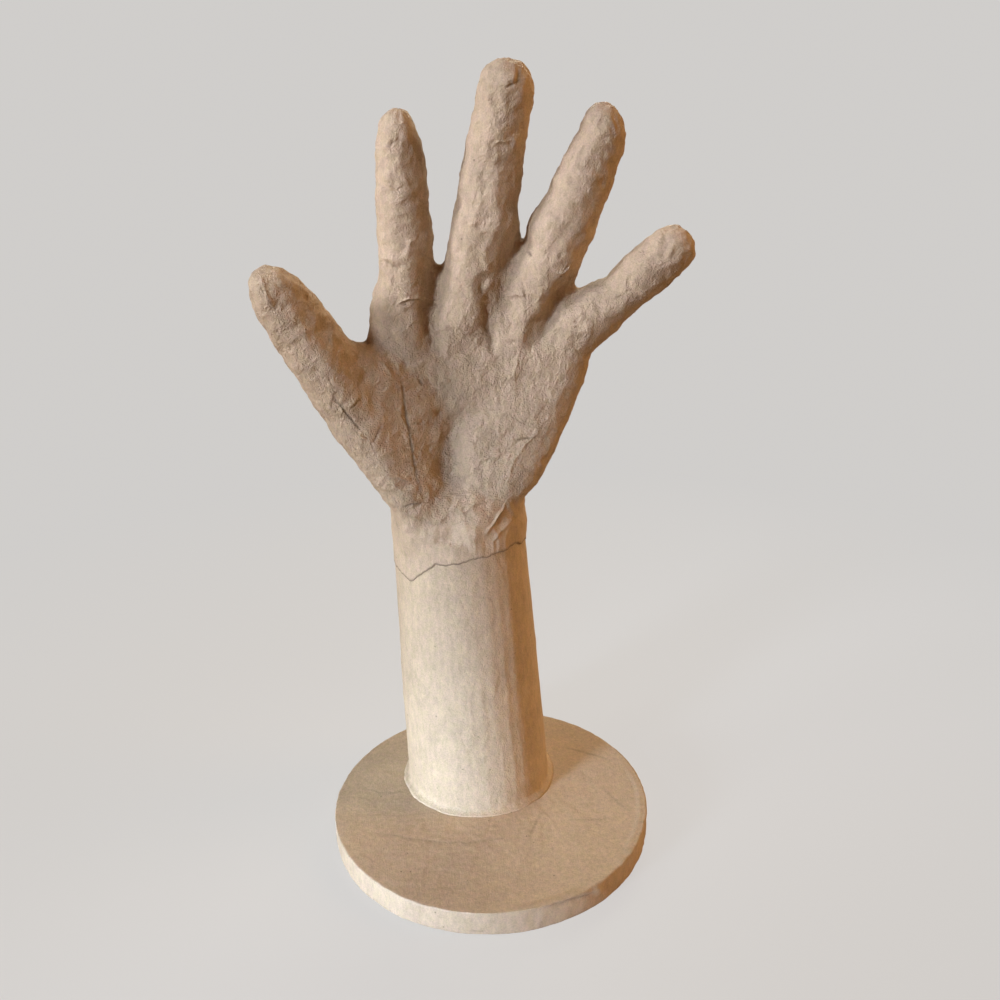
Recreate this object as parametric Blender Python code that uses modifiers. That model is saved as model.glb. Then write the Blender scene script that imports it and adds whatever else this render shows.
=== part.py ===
"""A papier-mache hand for displaying jewelry: an open left hand on a forearm of rolled card, which
stands on a round base. Three pieces are pasted together: the base disc, the forearm tube and the hand.

Run it with: blender --background --python part.py
Units are metres and +Z is up. The palm faces -Y, and the origin is the centre of the base's underside.
"""

import math

import bmesh
import bpy
import numpy as np
from mathutils import Vector

MM = 0.001

# The dry glue line that parts one piece from the next.
GLUE_GAP = 0.3 * MM

# The base disc: layers of board under one paper skin, with its edges softened by the paper.
BASE_RADIUS = 74.0 * MM
BASE_THICKNESS = 12.0 * MM
BASE_EDGE_ROUND = 0.8 * MM
BASE_SIDES = 96

# The forearm: card creased into flats and rolled to a leaning cone, set towards the back of the base.
FOREARM_FOOT = Vector((-5.6, 21.8)) * MM
FOREARM_LEAN = Vector((-5.6, -1.8)) * MM
FOREARM_LENGTH = 130.0 * MM
FOREARM_FOOT_RADIUS = 35.0 * MM
FOREARM_TOP_HALF_WIDTH = 30.3 * MM
FOREARM_TOP_HALF_DEPTH = 27.0 * MM
FOREARM_WALL = 2.5 * MM
FOREARM_FLATS = 16
FOREARM_FIRST_CREASE = math.radians(-81)
CREASE_ROUND = 5.0 * MM

# The paper flares out where the forearm meets the base.
FOOT_FLARE = 2.3 * MM
FOOT_FLARE_HEIGHT = 2.5 * MM
FOOT_FLARE_RINGS = 3

# Places in the hand are in millimetres from the middle of its joint with the forearm: x towards the
# little finger, y towards the back of the hand, z up. A ball is (x, y, z, radius).

# A finger runs from a stem ball inside the palm to its root, then straight out to its tip. Its splay
# is its angle from upright, its curl is how far the tip comes forward, and its radii run from root
# to tip. The forward curl grows along the finger with the power CURL_EASE.
CURL_EASE = 1.5
FINGERS = {
    "index": dict(stem=(-13, 2, 74, 10), root=(-17.5, 1, 98), splay=0.3, length=79.7, curl=7.5,
                  radii=(12.0, 11.9, 11.0, 10.5, 8.9)),
    "middle": dict(stem=(3, 2, 78, 10), root=(8.8, 2, 105), splay=10.7, length=90.8, curl=8.5,
                   radii=(13.0, 13.3, 12.3, 11.7, 11.2)),
    "ring": dict(stem=(18, 2, 74, 10), root=(32.4, 2, 98), splay=22.6, length=86.2, curl=8.5,
                 radii=(12.6, 12.8, 12.2, 11.6, 9.5)),
    "little": dict(stem=(32, 1.5, 64, 10), root=(47.4, 1, 86.1), splay=49.2, length=65.1, curl=7,
                   radii=(12.3, 11.9, 10.8, 10.6, 9.9)),
    "thumb": dict(stem=(-38, -14, 58, 12.5), root=(-51.8, -17, 83.5), splay=-27.9, length=43.4,
                  curl=5.7, radii=(13.3, 13.1, 12.2, 10.3)),
}

# The pads of the palm are the skins stretched over groups of balls.
PADS = {
    "thenar": [(-20.5, -13, 25, 10.5), (-29.8, -15, 40, 10.5), (-41.6, -15, 60, 11.5),
               (-51, -16, 80, 12.5), (-8, 0, 60, 9), (-4, 0, 32, 9), (-24, 0, 77, 7),
               (-33, -4, 76, 6.5)],
    "thenar_foot": [(-15, -11, 4, 11), (-18.5, -12, 27, 10.5), (-8, -8, 24, 10)],
    "heel": [(5, -6, 14, 11), (14.4, -6, 20, 12), (24.6, -5, 32, 12.8), (32.5, -3, 45, 12.5),
             (38.6, -1, 60, 12), (44.2, 0, 72, 12), (9, -3, 46, 11.5), (17, 0, 70, 10.5),
             (48.6, 2, 84, 10.5), (20, 2, 88, 9)],
    "index_root": [(-17, 2, 104, 10.5), (-15, 2, 72, 9.5), (8, 2, 108, 10.5), (3, 1, 72, 9.5),
                   (-5, 3, 108.5, 8), (-26.4, 0, 91, 8.6), (-22.8, 1, 105, 9.8)],
    "middle_root": [(8, 2, 114, 10.5), (4, 1, 72, 9.5), (35, 2, 114, 10.5), (22, 1, 72, 9.5),
                    (28, 2, 123, 7.5)],
    "ring_root": [(31, 2, 102, 10.5), (22, 1, 72, 9.5), (53, 2, 92, 10.5), (42, 0, 72, 10.5),
                  (45.5, 2, 101, 7.5)],
}

# The wrist carries on from the forearm's top: height, and shares of the top's width and depth.
WRIST_SECTIONS = [(-10, 1.0, 1.0), (8, 1.0, 0.98), (18, 0.99, 0.86)]

# The palm above it: height, middle x, middle y, half width and half depth.
PALM_SECTIONS = [(30, 3, 2, 32, 17), (44, 7, 2.5, 34.5, 13.5), (60, 10.5, 2.5, 37, 12.5),
                 (76, 12.5, 2.5, 39, 12), (94, 14, 2.5, 38, 9.5)]
SECTION_CORNERS = 48

# Valleys pressed into the palm side: (x, z) at the deep end and the shallow end, half width, depth.
VALLEYS = {
    "between index and middle": ((-5, 119), (-8, 84), 4.0, 6.0),
    "between middle and ring": ((27, 126), (16, 90), 4.0, 6.0),
    "between ring and little": ((47, 107), (35, 90), 4.0, 5.0),
    "wrist": ((-2, 40), (-4, 4), 6.0, 5.0),
    "crease of the palm": ((-2, 48), (27, 70), 3.5, 3.0),
}
VALLEY_FADE = 0.6

# The balls, limbs and pads are fused on a grid of this size, smoothed, and simplified.
VOXEL = 1.6 * MM
SMOOTHING_STRENGTH = 0.5
SMOOTHING_PASSES = 12
HAND_TRIANGLES = 9000

# How finely the rounded shapes are divided, and the angle above which an edge stays sharp.
FINGER_BALL_SIDES = 24
PAD_BALL_SIDES = 18
FINGER_DIVISIONS = 6
ROUND_SEGMENTS = 2
SHARP_EDGE = math.radians(35)


def clear_scene():
    for item in list(bpy.data.objects):
        bpy.data.objects.remove(item)


def new_collection(name):
    made = bpy.data.collections.new(name)
    bpy.context.scene.collection.children.link(made)
    return made


def paper_material(name, colour, roughness):
    made = bpy.data.materials.new(name)
    made.use_nodes = True
    shader = made.node_tree.nodes["Principled BSDF"]
    shader.inputs["Base Color"].default_value = (*colour, 1.0)
    shader.inputs["Roughness"].default_value = roughness
    shader.inputs["Metallic"].default_value = 0.0
    return made


def mesh_object(name, bm, group):
    mesh = bpy.data.meshes.new(name)
    bm.to_mesh(mesh)
    bm.free()
    made = bpy.data.objects.new(name, mesh)
    group.objects.link(made)
    return made


def finish(made, paper):
    """Gives a piece its material and smooth shading that keeps its sharp edges."""
    made.data.materials.append(paper)
    made.data.shade_smooth()
    made.data.set_sharp_from_angle(angle=SHARP_EDGE)


def bridge(bm, low, high):
    """Joins two rings of corners with a band of faces."""
    for i in range(len(low)):
        k = (i + 1) % len(low)
        bm.faces.new((low[i], low[k], high[k], high[i]))


def joint_centre():
    """The middle of the level joint between forearm and hand."""
    foot = Vector((*FOREARM_FOOT, BASE_THICKNESS + GLUE_GAP))
    return foot + Vector((*FOREARM_LEAN, FOREARM_LENGTH))


def build_base(group):
    bm = bmesh.new()
    bmesh.ops.create_cone(bm, cap_ends=True, segments=BASE_SIDES, radius1=BASE_RADIUS,
                          radius2=BASE_RADIUS, depth=BASE_THICKNESS)
    base = mesh_object("base_disc", bm, group)
    base.location.z = BASE_THICKNESS / 2
    edge = base.modifiers.new("softened edges", "BEVEL")
    edge.width = BASE_EDGE_ROUND
    edge.segments = ROUND_SEGMENTS
    edge.limit_method = "ANGLE"
    finish(base, paper_material("base_paper", (0.42, 0.31, 0.20), 0.85))


def forearm_ring(height, inset):
    """The corners of the forearm's section at a height above its foot, taken in by inset."""
    share = height / FOREARM_LENGTH
    half_width = FOREARM_FOOT_RADIUS + (FOREARM_TOP_HALF_WIDTH - FOREARM_FOOT_RADIUS) * share
    half_depth = FOREARM_FOOT_RADIUS + (FOREARM_TOP_HALF_DEPTH - FOREARM_FOOT_RADIUS) * share
    flare = FOOT_FLARE * max(0.0, 1.0 - height / FOOT_FLARE_HEIGHT) ** 2
    centre = Vector((*(FOREARM_FOOT + FOREARM_LEAN * share), BASE_THICKNESS + GLUE_GAP + height))
    corners = []
    for i in range(FOREARM_FLATS):
        turn = FOREARM_FIRST_CREASE + 2 * math.pi * i / FOREARM_FLATS
        corners.append(centre + Vector(((half_width + flare - inset) * math.cos(turn),
                                        (half_depth + flare - inset) * math.sin(turn), 0)))
    return corners


def build_forearm(group):
    flare_heights = [FOOT_FLARE_HEIGHT * k / FOOT_FLARE_RINGS for k in range(FOOT_FLARE_RINGS + 1)]
    bm = bmesh.new()
    outer = [[bm.verts.new(corner) for corner in forearm_ring(height, 0.0)]
             for height in flare_heights + [FOREARM_LENGTH]]
    inner = [[bm.verts.new(corner) for corner in forearm_ring(height, FOREARM_WALL)]
             for height in (FOREARM_LENGTH, FOOT_FLARE_HEIGHT)]
    foot = [Vector((corner.co.x, corner.co.y, outer[0][0].co.z)) for corner in inner[-1]]
    inner.append([bm.verts.new(corner) for corner in foot])
    rings = outer + inner + outer[:1]
    for low, high in zip(rings, rings[1:]):
        bridge(bm, low, high)
    crease = bm.edges.layers.float.new("bevel_weight_edge")
    for low, high in zip(outer, outer[1:]):
        for start, end in zip(low, high):
            bm.edges.get((start, end))[crease] = 1.0
    forearm = mesh_object("forearm_tube", bm, group)
    soften = forearm.modifiers.new("softened creases", "BEVEL")
    soften.width = CREASE_ROUND
    soften.segments = ROUND_SEGMENTS
    soften.limit_method = "WEIGHT"
    finish(forearm, paper_material("forearm_paper", (0.55, 0.43, 0.29), 0.85))


def add_ball(bm, ball, sides):
    x, y, z, radius = ball
    made = bmesh.ops.create_uvsphere(bm, u_segments=sides, v_segments=sides * 2 // 3,
                                     radius=radius * MM)["verts"]
    bmesh.ops.translate(bm, verts=made, vec=Vector((x, y, z)) * MM)
    return made


def finger_balls(stem, root, splay, length, curl, radii):
    """The balls that a finger passes through, from inside the palm to its tip."""
    across, up = math.sin(math.radians(splay)), math.cos(math.radians(splay))
    reach = length - radii[-1]
    balls = [stem]
    for i, radius in enumerate(radii):
        share = i / (len(radii) - 1)
        balls.append((root[0] + reach * share * across, root[1] - curl * share ** CURL_EASE,
                      root[2] + reach * share * up, radius))
    return balls


def add_finger(bm, name, sizes):
    """Adds a tapering round limb with a ball at each end."""
    balls = finger_balls(**sizes)
    curve = bpy.data.curves.new(name, "CURVE")
    curve.dimensions = "3D"
    curve.bevel_depth = MM
    curve.bevel_resolution = FINGER_DIVISIONS
    curve.resolution_u = FINGER_DIVISIONS
    curve.use_fill_caps = True
    spline = curve.splines.new("BEZIER")
    spline.radius_interpolation = "CARDINAL"
    spline.bezier_points.add(len(balls) - 1)
    for point, (x, y, z, radius) in zip(spline.bezier_points, balls):
        point.co = Vector((x, y, z)) * MM
        point.handle_left_type = point.handle_right_type = "AUTO"
        point.radius = radius
    guide = bpy.data.objects.new(name, curve)
    bpy.context.scene.collection.objects.link(guide)
    mesh = evaluated_copy(guide)
    bm.from_mesh(mesh)
    bpy.data.objects.remove(guide)
    bpy.data.meshes.remove(mesh)
    add_ball(bm, balls[0], FINGER_BALL_SIDES)
    add_ball(bm, balls[-1], FINGER_BALL_SIDES)


def add_pad(bm, balls):
    """Adds the skin stretched over a group of balls."""
    points = [point for ball in balls for point in add_ball(bm, ball, PAD_BALL_SIDES)]
    faces = list({face for point in points for face in point.link_faces})
    bmesh.ops.delete(bm, geom=faces, context="FACES_ONLY")
    hull = bmesh.ops.convex_hull(bm, input=points)
    inside = {item for item in hull["geom_interior"] if isinstance(item, bmesh.types.BMVert)}
    bmesh.ops.delete(bm, geom=list(inside), context="VERTS")


def palm_ring(height, x, y, half_width, half_depth):
    turns = [2 * math.pi * i / SECTION_CORNERS for i in range(SECTION_CORNERS)]
    return [Vector((x + half_width * math.cos(turn), y + half_depth * math.sin(turn), height)) * MM
            for turn in turns]


def add_palm(bm):
    """Adds the body of the palm, lofted from the wrist up through its sections."""
    top_width, top_depth = FOREARM_TOP_HALF_WIDTH / MM, FOREARM_TOP_HALF_DEPTH / MM
    wrist = [(height, 0, 0, top_width * width, top_depth * depth)
             for height, width, depth in WRIST_SECTIONS]
    rings = [[bm.verts.new(corner) for corner in palm_ring(*sizes)]
             for sizes in wrist + PALM_SECTIONS]
    for low, high in zip(rings, rings[1:]):
        bridge(bm, low, high)
    bm.faces.new(rings[0][::-1])
    bm.faces.new(rings[-1])


def evaluated_copy(source):
    """The mesh of an object with its modifiers applied."""
    graph = bpy.context.evaluated_depsgraph_get()
    return bpy.data.meshes.new_from_object(source.evaluated_get(graph))


def press_valleys(mesh):
    """Pushes the palm side in along each valley."""
    places = np.empty(len(mesh.vertices) * 3)
    normals = np.empty(len(mesh.vertices) * 3)
    mesh.vertices.foreach_get("co", places)
    mesh.vertex_normals.foreach_get("vector", normals)
    places = places.reshape(-1, 3)
    facing = np.clip(-normals.reshape(-1, 3)[:, 1], 0, 1)
    flat = places[:, [0, 2]] / MM
    push = np.zeros(len(places))
    for start, end, half_width, depth in VALLEYS.values():
        along = np.subtract(end, start)
        share = np.clip((flat - start) @ along / (along @ along), 0, 1)
        off = np.linalg.norm(flat - start - share[:, None] * along, axis=1) / half_width
        push = np.maximum(push, depth * np.exp(-off * off) * (1 - VALLEY_FADE * share))
    places[:, 1] += push * facing * MM
    mesh.vertices.foreach_set("co", places.ravel())


def cut_level(mesh, height):
    """Cuts the foot of the hand level and closes it, where it sits on the forearm."""
    bm = bmesh.new()
    bm.from_mesh(mesh)
    everything = bm.verts[:] + bm.edges[:] + bm.faces[:]
    cut = bmesh.ops.bisect_plane(bm, geom=everything, plane_co=(0, 0, height), plane_no=(0, 0, -1),
                                 clear_outer=True)
    rim = [item for item in cut["geom_cut"] if isinstance(item, bmesh.types.BMEdge)]
    bmesh.ops.contextual_create(bm, geom=rim)
    bm.to_mesh(mesh)
    bm.free()


def build_hand(group):
    bm = bmesh.new()
    for name, sizes in FINGERS.items():
        add_finger(bm, name, sizes)
    for balls in PADS.values():
        add_pad(bm, balls)
    add_palm(bm)
    hand = mesh_object("hand", bm, group)
    hand.location = joint_centre()
    fuse = hand.modifiers.new("fuse", "REMESH")
    fuse.mode = "VOXEL"
    fuse.voxel_size = VOXEL
    hand.data = evaluated_copy(hand)
    hand.modifiers.clear()
    press_valleys(hand.data)
    soften = hand.modifiers.new("soften", "SMOOTH")
    soften.factor = SMOOTHING_STRENGTH
    soften.iterations = SMOOTHING_PASSES
    hand.data = evaluated_copy(hand)
    hand.modifiers.clear()
    cut_level(hand.data, GLUE_GAP)
    reduce = hand.modifiers.new("reduce", "DECIMATE")
    reduce.ratio = HAND_TRIANGLES / sum(len(face.vertices) - 2 for face in hand.data.polygons)
    finish(hand, paper_material("hand_paper", (0.48, 0.38, 0.29), 0.9))


def main():
    clear_scene()
    group = new_collection("hand_jewelry_display")
    build_base(group)
    build_forearm(group)
    build_hand(group)


main()
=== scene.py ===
import math

import bmesh
import bpy
import numpy as np
from mathutils import Matrix, Vector
from mathutils.bvhtree import BVHTree


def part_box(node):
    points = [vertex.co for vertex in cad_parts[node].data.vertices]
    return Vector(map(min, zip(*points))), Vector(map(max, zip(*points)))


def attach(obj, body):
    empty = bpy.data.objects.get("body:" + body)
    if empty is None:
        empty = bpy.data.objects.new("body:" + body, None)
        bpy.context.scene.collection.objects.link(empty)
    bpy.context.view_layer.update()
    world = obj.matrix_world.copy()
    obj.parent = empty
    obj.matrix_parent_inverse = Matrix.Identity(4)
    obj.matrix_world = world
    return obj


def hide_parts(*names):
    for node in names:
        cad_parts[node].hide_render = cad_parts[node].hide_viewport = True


# The looks of a papier-mache hand for displaying jewelry, in plain kraft paper: the hand's wrinkled
# skin, the torn paper lapped round its wrist, the creased card of its forearm and its base disc.
# Shapes are worked out in millimetres. The palm faces -Y, and the little finger is towards +X.

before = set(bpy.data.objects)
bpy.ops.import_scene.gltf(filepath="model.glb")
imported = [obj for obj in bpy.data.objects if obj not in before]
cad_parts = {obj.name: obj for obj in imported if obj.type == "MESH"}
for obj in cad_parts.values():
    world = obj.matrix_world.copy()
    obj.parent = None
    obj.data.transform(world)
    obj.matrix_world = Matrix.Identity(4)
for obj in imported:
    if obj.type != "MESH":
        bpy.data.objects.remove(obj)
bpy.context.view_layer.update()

MM = 0.001

# The paper's thickness, and how wide its torn edges are
PAPER = 0.32
TORN_EDGE = 0.6

# Torn strips pasted on each piece: how many, half their length and width, and their seed
HAND_STRIPS = (110, 15.0, 8.5, 11)
FOREARM_STRIPS = (34, 34.0, 17.0, 23)
BASE_STRIPS = (26, 36.0, 19.0, 31)

# How torn edges bend, as (height, size) of the noise, how far strips differ in size and edges in
# darkness, and how nearly a place must face a strip's way to be covered by it
STRIP_BENDS = (0.7, 3.5)
STRIP_WIDE_BENDS = (1.6, 11.0)
STRIP_SIZES = (0.75, 1.3)
STRIP_EDGES = (0.2, 1.0)
STRIP_FACING = 0.25

# How creases bend, as (height, size) in shares of their size, how sharp they are, and how low it is
# between them
CREASE_BENDS = (0.6, 1.7)
CREASE_SHARP = 2.2
CREASE_LOW = -0.6


def smooth_step(values):
    held = np.clip(values, 0.0, 1.0)
    return held * held * (3.0 - 2.0 * held)


def ramp(values, start, end):
    """0 up to the start and 1 from the end on, easing between them. The end may be the lower one."""
    return smooth_step((values - start) / (end - start))


def bell(away, half_width):
    """1 at 0, falling away smoothly to both sides."""
    return np.exp(-((away / half_width) ** 2))


def noise(places, size, seed):
    """Smooth noise from -1 to 1, with lumps of about the given size."""
    scaled = places / size + seed * 17.3
    cell = np.floor(scaled).astype(np.int64)
    ease = smooth_step(scaled - cell)
    total = np.zeros(len(places))
    for corner in np.ndindex(2, 2, 2):
        spot = (cell + corner) % 65536
        mixed = spot[:, 0] * 73856093 ^ spot[:, 1] * 19349663 ^ spot[:, 2] * 83492791 ^ seed * 8191
        mixed = (mixed ^ mixed >> 13) * 1274126177 % 4294967296
        mixed = (mixed ^ mixed >> 16) % 65536
        weight = np.prod(np.where(np.array(corner) == 1, ease, 1.0 - ease), axis=1)
        total += weight * (mixed / 32767.5 - 1.0)
    return total


def bends(places, size, seeds):
    """Noise of one size for each seed, side by side, to bend places with."""
    return np.stack([noise(places, size, seed) for seed in seeds], axis=1)


def crumple(places, size, seed):
    """Creases of paper pressed over a form: thin raised lines between soft flat hollows."""
    height, wide = CREASE_BENDS
    warped = places + bends(places, size * wide, range(seed + 1, seed + 4)) * size * height
    lines = 1.0 - np.abs(noise(warped, size, seed + 4)) * CREASE_SHARP
    return np.clip(lines, CREASE_LOW, 1.0)


def lumps(places, rows, kind=noise):
    """The sum of noise or creases in rows of height, size and seed."""
    return sum(height * kind(places, size, seed) for height, size, seed in rows)


class Line:
    """A crease, fold or crack drawn through points (x, z)."""

    WANDER_SIZE = 3.0

    def __init__(self, places, points, wander, seed):
        flat = places[:, [0, 2]] + bends(places, self.WANDER_SIZE, (seed, seed + 1)) * wander
        points = np.array(points, float)
        steps = np.diff(points, axis=0)
        lengths = np.linalg.norm(steps, axis=1)
        before = np.concatenate([[0.0], np.cumsum(lengths)])
        self.off = np.full(len(places), 1e9)
        self.side = np.zeros(len(places))
        share = np.zeros(len(places))
        for start, step, length, run in zip(points, steps, lengths, before):
            away = flat - start
            part = np.clip(away @ step / length ** 2, 0.0, 1.0)
            off = np.linalg.norm(away - part[:, None] * step, axis=1)
            side = np.sign(step[0] * away[:, 1] - step[1] * away[:, 0])
            near = off < self.off
            self.off[near] = off[near]
            self.side[near] = side[near]
            share[near] = (run + part[near] * length) / before[-1]
        self.thinning = np.sqrt(np.clip(np.sin(math.pi * share), 0.0, 1.0))

    def bump(self, half_width):
        """1 on the line, falling away to both sides, and thinning out to its ends."""
        return bell(self.off, half_width) * self.thinning

    def ledge(self, reach):
        """1 at the line on its left side and 0 across it, easing down over the reach."""
        rise = smooth_step(0.5 + self.side * self.off / TORN_EDGE)
        return rise * np.clip(1.0 - self.off / reach, 0.0, 1.0) * self.thinning


def drawn_lines(places, rows, wander, seed):
    """Each row's numbers with the line through its points, which come last in the row."""
    for count, (*numbers, points) in enumerate(rows):
        yield numbers, Line(places, points, wander, seed + count * 3)


def paper_strips(places, normals, count, half_length, half_width, seed):
    """Torn strips pasted over each other: their thickness, tone and edges at each place."""
    chance = np.random.default_rng(seed)
    torn = places.copy()
    for (height, size), first in ((STRIP_BENDS, seed + 5), (STRIP_WIDE_BENDS, seed + 8)):
        torn += bends(places, size, range(first, first + 3)) * height
    layers = np.zeros(len(places))
    tone = np.zeros(len(places))
    edge = np.zeros(len(places))
    for middle in chance.choice(len(places), count, replace=False):
        facing = normals[middle]
        turn = chance.uniform(0.0, math.pi)
        across = np.cross(facing, chance.normal(size=3))
        across /= np.linalg.norm(across)
        along = np.cross(facing, across)
        way = across * math.cos(turn) + along * math.sin(turn)
        other = np.cross(facing, way)
        away = torn - places[middle]
        length = half_length * chance.uniform(*STRIP_SIZES)
        width = half_width * chance.uniform(*STRIP_SIZES)
        inside = np.minimum(length - np.abs(away @ way), width - np.abs(away @ other))
        near = (normals @ facing > STRIP_FACING) & (np.abs(away @ facing) < half_width)
        inside = np.where(near, inside, -1e3)
        cover = smooth_step(0.5 + inside / TORN_EDGE)
        layers += cover
        tone = tone * (1.0 - cover) + cover * chance.uniform(-1.0, 1.0)
        border = bell(inside, TORN_EDGE) * chance.uniform(*STRIP_EDGES)
        edge = np.maximum(edge * (1.0 - cover), border)
    return layers, tone, edge


def read_places(mesh):
    """A mesh's vertices, in millimetres."""
    places = np.empty(len(mesh.vertices) * 3)
    mesh.vertices.foreach_get("co", places)
    return places.reshape(-1, 3) / MM


def read_normals(mesh):
    normals = np.empty(len(mesh.vertices) * 3)
    mesh.vertex_normals.foreach_get("vector", normals)
    return normals.reshape(-1, 3)


def write_places(mesh, places):
    mesh.vertices.foreach_set("co", (places * MM).ravel())
    mesh.update()


def write_shares(mesh, **shares):
    """Stores numbers for the vertices, which the paper's material reads. Any vertices left get 0."""
    for name, numbers in shares.items():
        values = np.zeros(len(mesh.vertices), np.float32)
        values[:len(numbers)] = numbers
        mesh.attributes.new(name, "FLOAT", "POINT").data.foreach_set("value", values)


def new_object(name, mesh):
    made = bpy.data.objects.new(name, mesh)
    bpy.context.scene.collection.objects.link(made)
    return made


def apply_modifiers(piece):
    graph = bpy.context.evaluated_depsgraph_get()
    piece.data = bpy.data.meshes.new_from_object(piece.evaluated_get(graph))
    piece.modifiers.clear()


def solid_mesh(node):
    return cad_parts[node].data


def welded_copy(node):
    """A copy of a solid's mesh with its split corners joined again."""
    bm = bmesh.new()
    bm.from_mesh(solid_mesh(node))
    bmesh.ops.remove_doubles(bm, verts=bm.verts, dist=0.02 * MM)
    mesh = bpy.data.meshes.new(node)
    bm.to_mesh(mesh)
    bm.free()
    return mesh


def dress(piece, node, material):
    """Finishes a piece: smooth shading, material and the body it rides on, and hides the solid it
    stands for.
    """
    piece.data.materials.clear()
    piece.data.materials.append(material)
    piece.data.shade_smooth()
    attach(piece, "root")
    if node:
        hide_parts(node)


# How near to the forearm's end a vertex of its edge lies, and how far inside it rays are cast
EDGE_NEAR = 0.05
EDGE_INSIDE = 0.02


def edge_middle(places):
    return (places.min(axis=0) + places.max(axis=0)) / 2


def joint_centre():
    """The middle of the joint between forearm and hand, from the forearm's top edge."""
    places = read_places(solid_mesh("forearm_tube"))
    return edge_middle(places[places[:, 2] > places[:, 2].max() - EDGE_NEAR])


# The hand's mesh: its grid, how often and how much it is smoothed, how near to a crack or fold it is
# made finer, pass by pass, how far it must face forward there, and the share of faces kept at the end
HAND_GRID = 0.90 * MM
HAND_SMOOTHING = 24
HAND_SMOOTHED = 0.5
FINER = (2.4, 1.4)
FINER_FACING = 0.2
HAND_SHARE_KEPT = 0.80

# Limbs of the hand from the joint's middle, as (x, z) of root and tip
LIMBS = {
    "index": ((-17.5, 98), (-17.1, 178)),
    "middle": ((8.8, 105), (25.7, 194)),
    "ring": ((32.4, 98), (65.5, 177.5)),
    "little": ((47.4, 86), (96.7, 128.5)),
    "thumb": ((-51.8, 83.5), (-72.1, 122)),
}

# How far the hand's strips stand out, as a share of the paper's thickness, how dark their edges
# are, and its lumps and creases, in rows of height, size and seed. The broad ones vary by region.
HAND_RELIEF = 0.55
HAND_EDGES_DARK = 0.25
HAND_LUMPS = [(0.50, 9.0, 51), (0.40, 4.5, 52)]
HAND_BROAD_CREASES = [(0.42, 6.5, 60)]
HAND_SMALL_CREASES = [(0.24, 3.2, 80)]
HAND_SMALL_LUMPS = [(0.16, 2.0, 90)]
REGIONS_SHARE = 0.55
REGIONS = [(0.45, 24.0, 40)]

# How strong they are on the palm, and how much stronger on the fingers
PALM_LIVELY = 0.85
FINGERS_LIVELIER = 0.2

# Levels above the joint over which the relief begins, the palm gives way to livelier fingers, the
# wrist's paper comes to lie calm, and the fingers' does
RELIEF_BEGINS = (0.0, 6.0)
FINGERS_BEGIN = (70.0, 110.0)
WRIST_CALM = (24.0, 6.0)
FINGERS_CALM = (105.0, 130.0)

# How much of the material's bump the calm wrist and fingers lose
WRIST_CALM_SHARE = 0.6
FINGERS_CALM_SHARE = 0.5

# How sharply what is drawn on the palm side ends towards the back of the hand
PALM_FADE = 1.5

# Cracks of the palm side from the joint's middle: depth in millimetres, darkness of the painted shade
# in them, then (x, z)
CRACKS = [
    (0.40, 1.0, [(-47.1, 71.2), (-42.9, 65.5), (-40.5, 61.1), (-36.9, 55.8)]),
    (0.25, 0.7, [(-40.9, 66.2), (-38.4, 68.5), (-36, 70.4)]),
    (0.35, 0.9, [(-21.4, 74.5), (-20.5, 65.9), (-19.6, 57.7), (-18.3, 49.4), (-17.5, 41.1),
                 (-16.5, 34.3), (-15.1, 28.3), (-14.4, 24.3)]),
    (0.50, 1.0, [(32, 124), (32.4, 122.6), (32.9, 121.2)]),
    (0.50, 0.9, [(-14.8, 72.6), (-13.6, 71.3), (-12.6, 70.1)]),
    (0.25, 0.5, [(-25.1, 122), (-22.5, 119.9), (-20, 117.6)]),
    (0.35, 0.6, [(-21.1, 163.2), (-19.5, 164.9), (-17.8, 165.7)]),
    (0.25, 0.4, [(-18.2, 55.6), (-15.4, 55.5), (-12.6, 55.1)]),
    (0.30, 0.5, [(24.9, 47), (29.4, 47.6), (34, 48.2)]),
    (0.30, 0.5, [(-32.8, 50.9), (-31.5, 54), (-29.8, 56.9)]),
    (0.35, 0.6, [(-23.4, 22.2), (-18.2, 23), (-13.8, 23.6)]),
    (0.40, 0.5, [(23.2, 183.2), (25.8, 184.4), (28.8, 185.9)]),
    (0.35, 0.5, [(28.5, 189.3), (28.1, 187), (27.3, 184.2)]),
]
CRACK_WANDER = 0.4
CRACK_SEED = 120
CRACK_WIDTH = 0.55
CRACK_SHADE_WIDTH = 0.48
CRACK_LEDGE = 0.2
CRACK_LEDGE_REACH = 3.5

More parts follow.
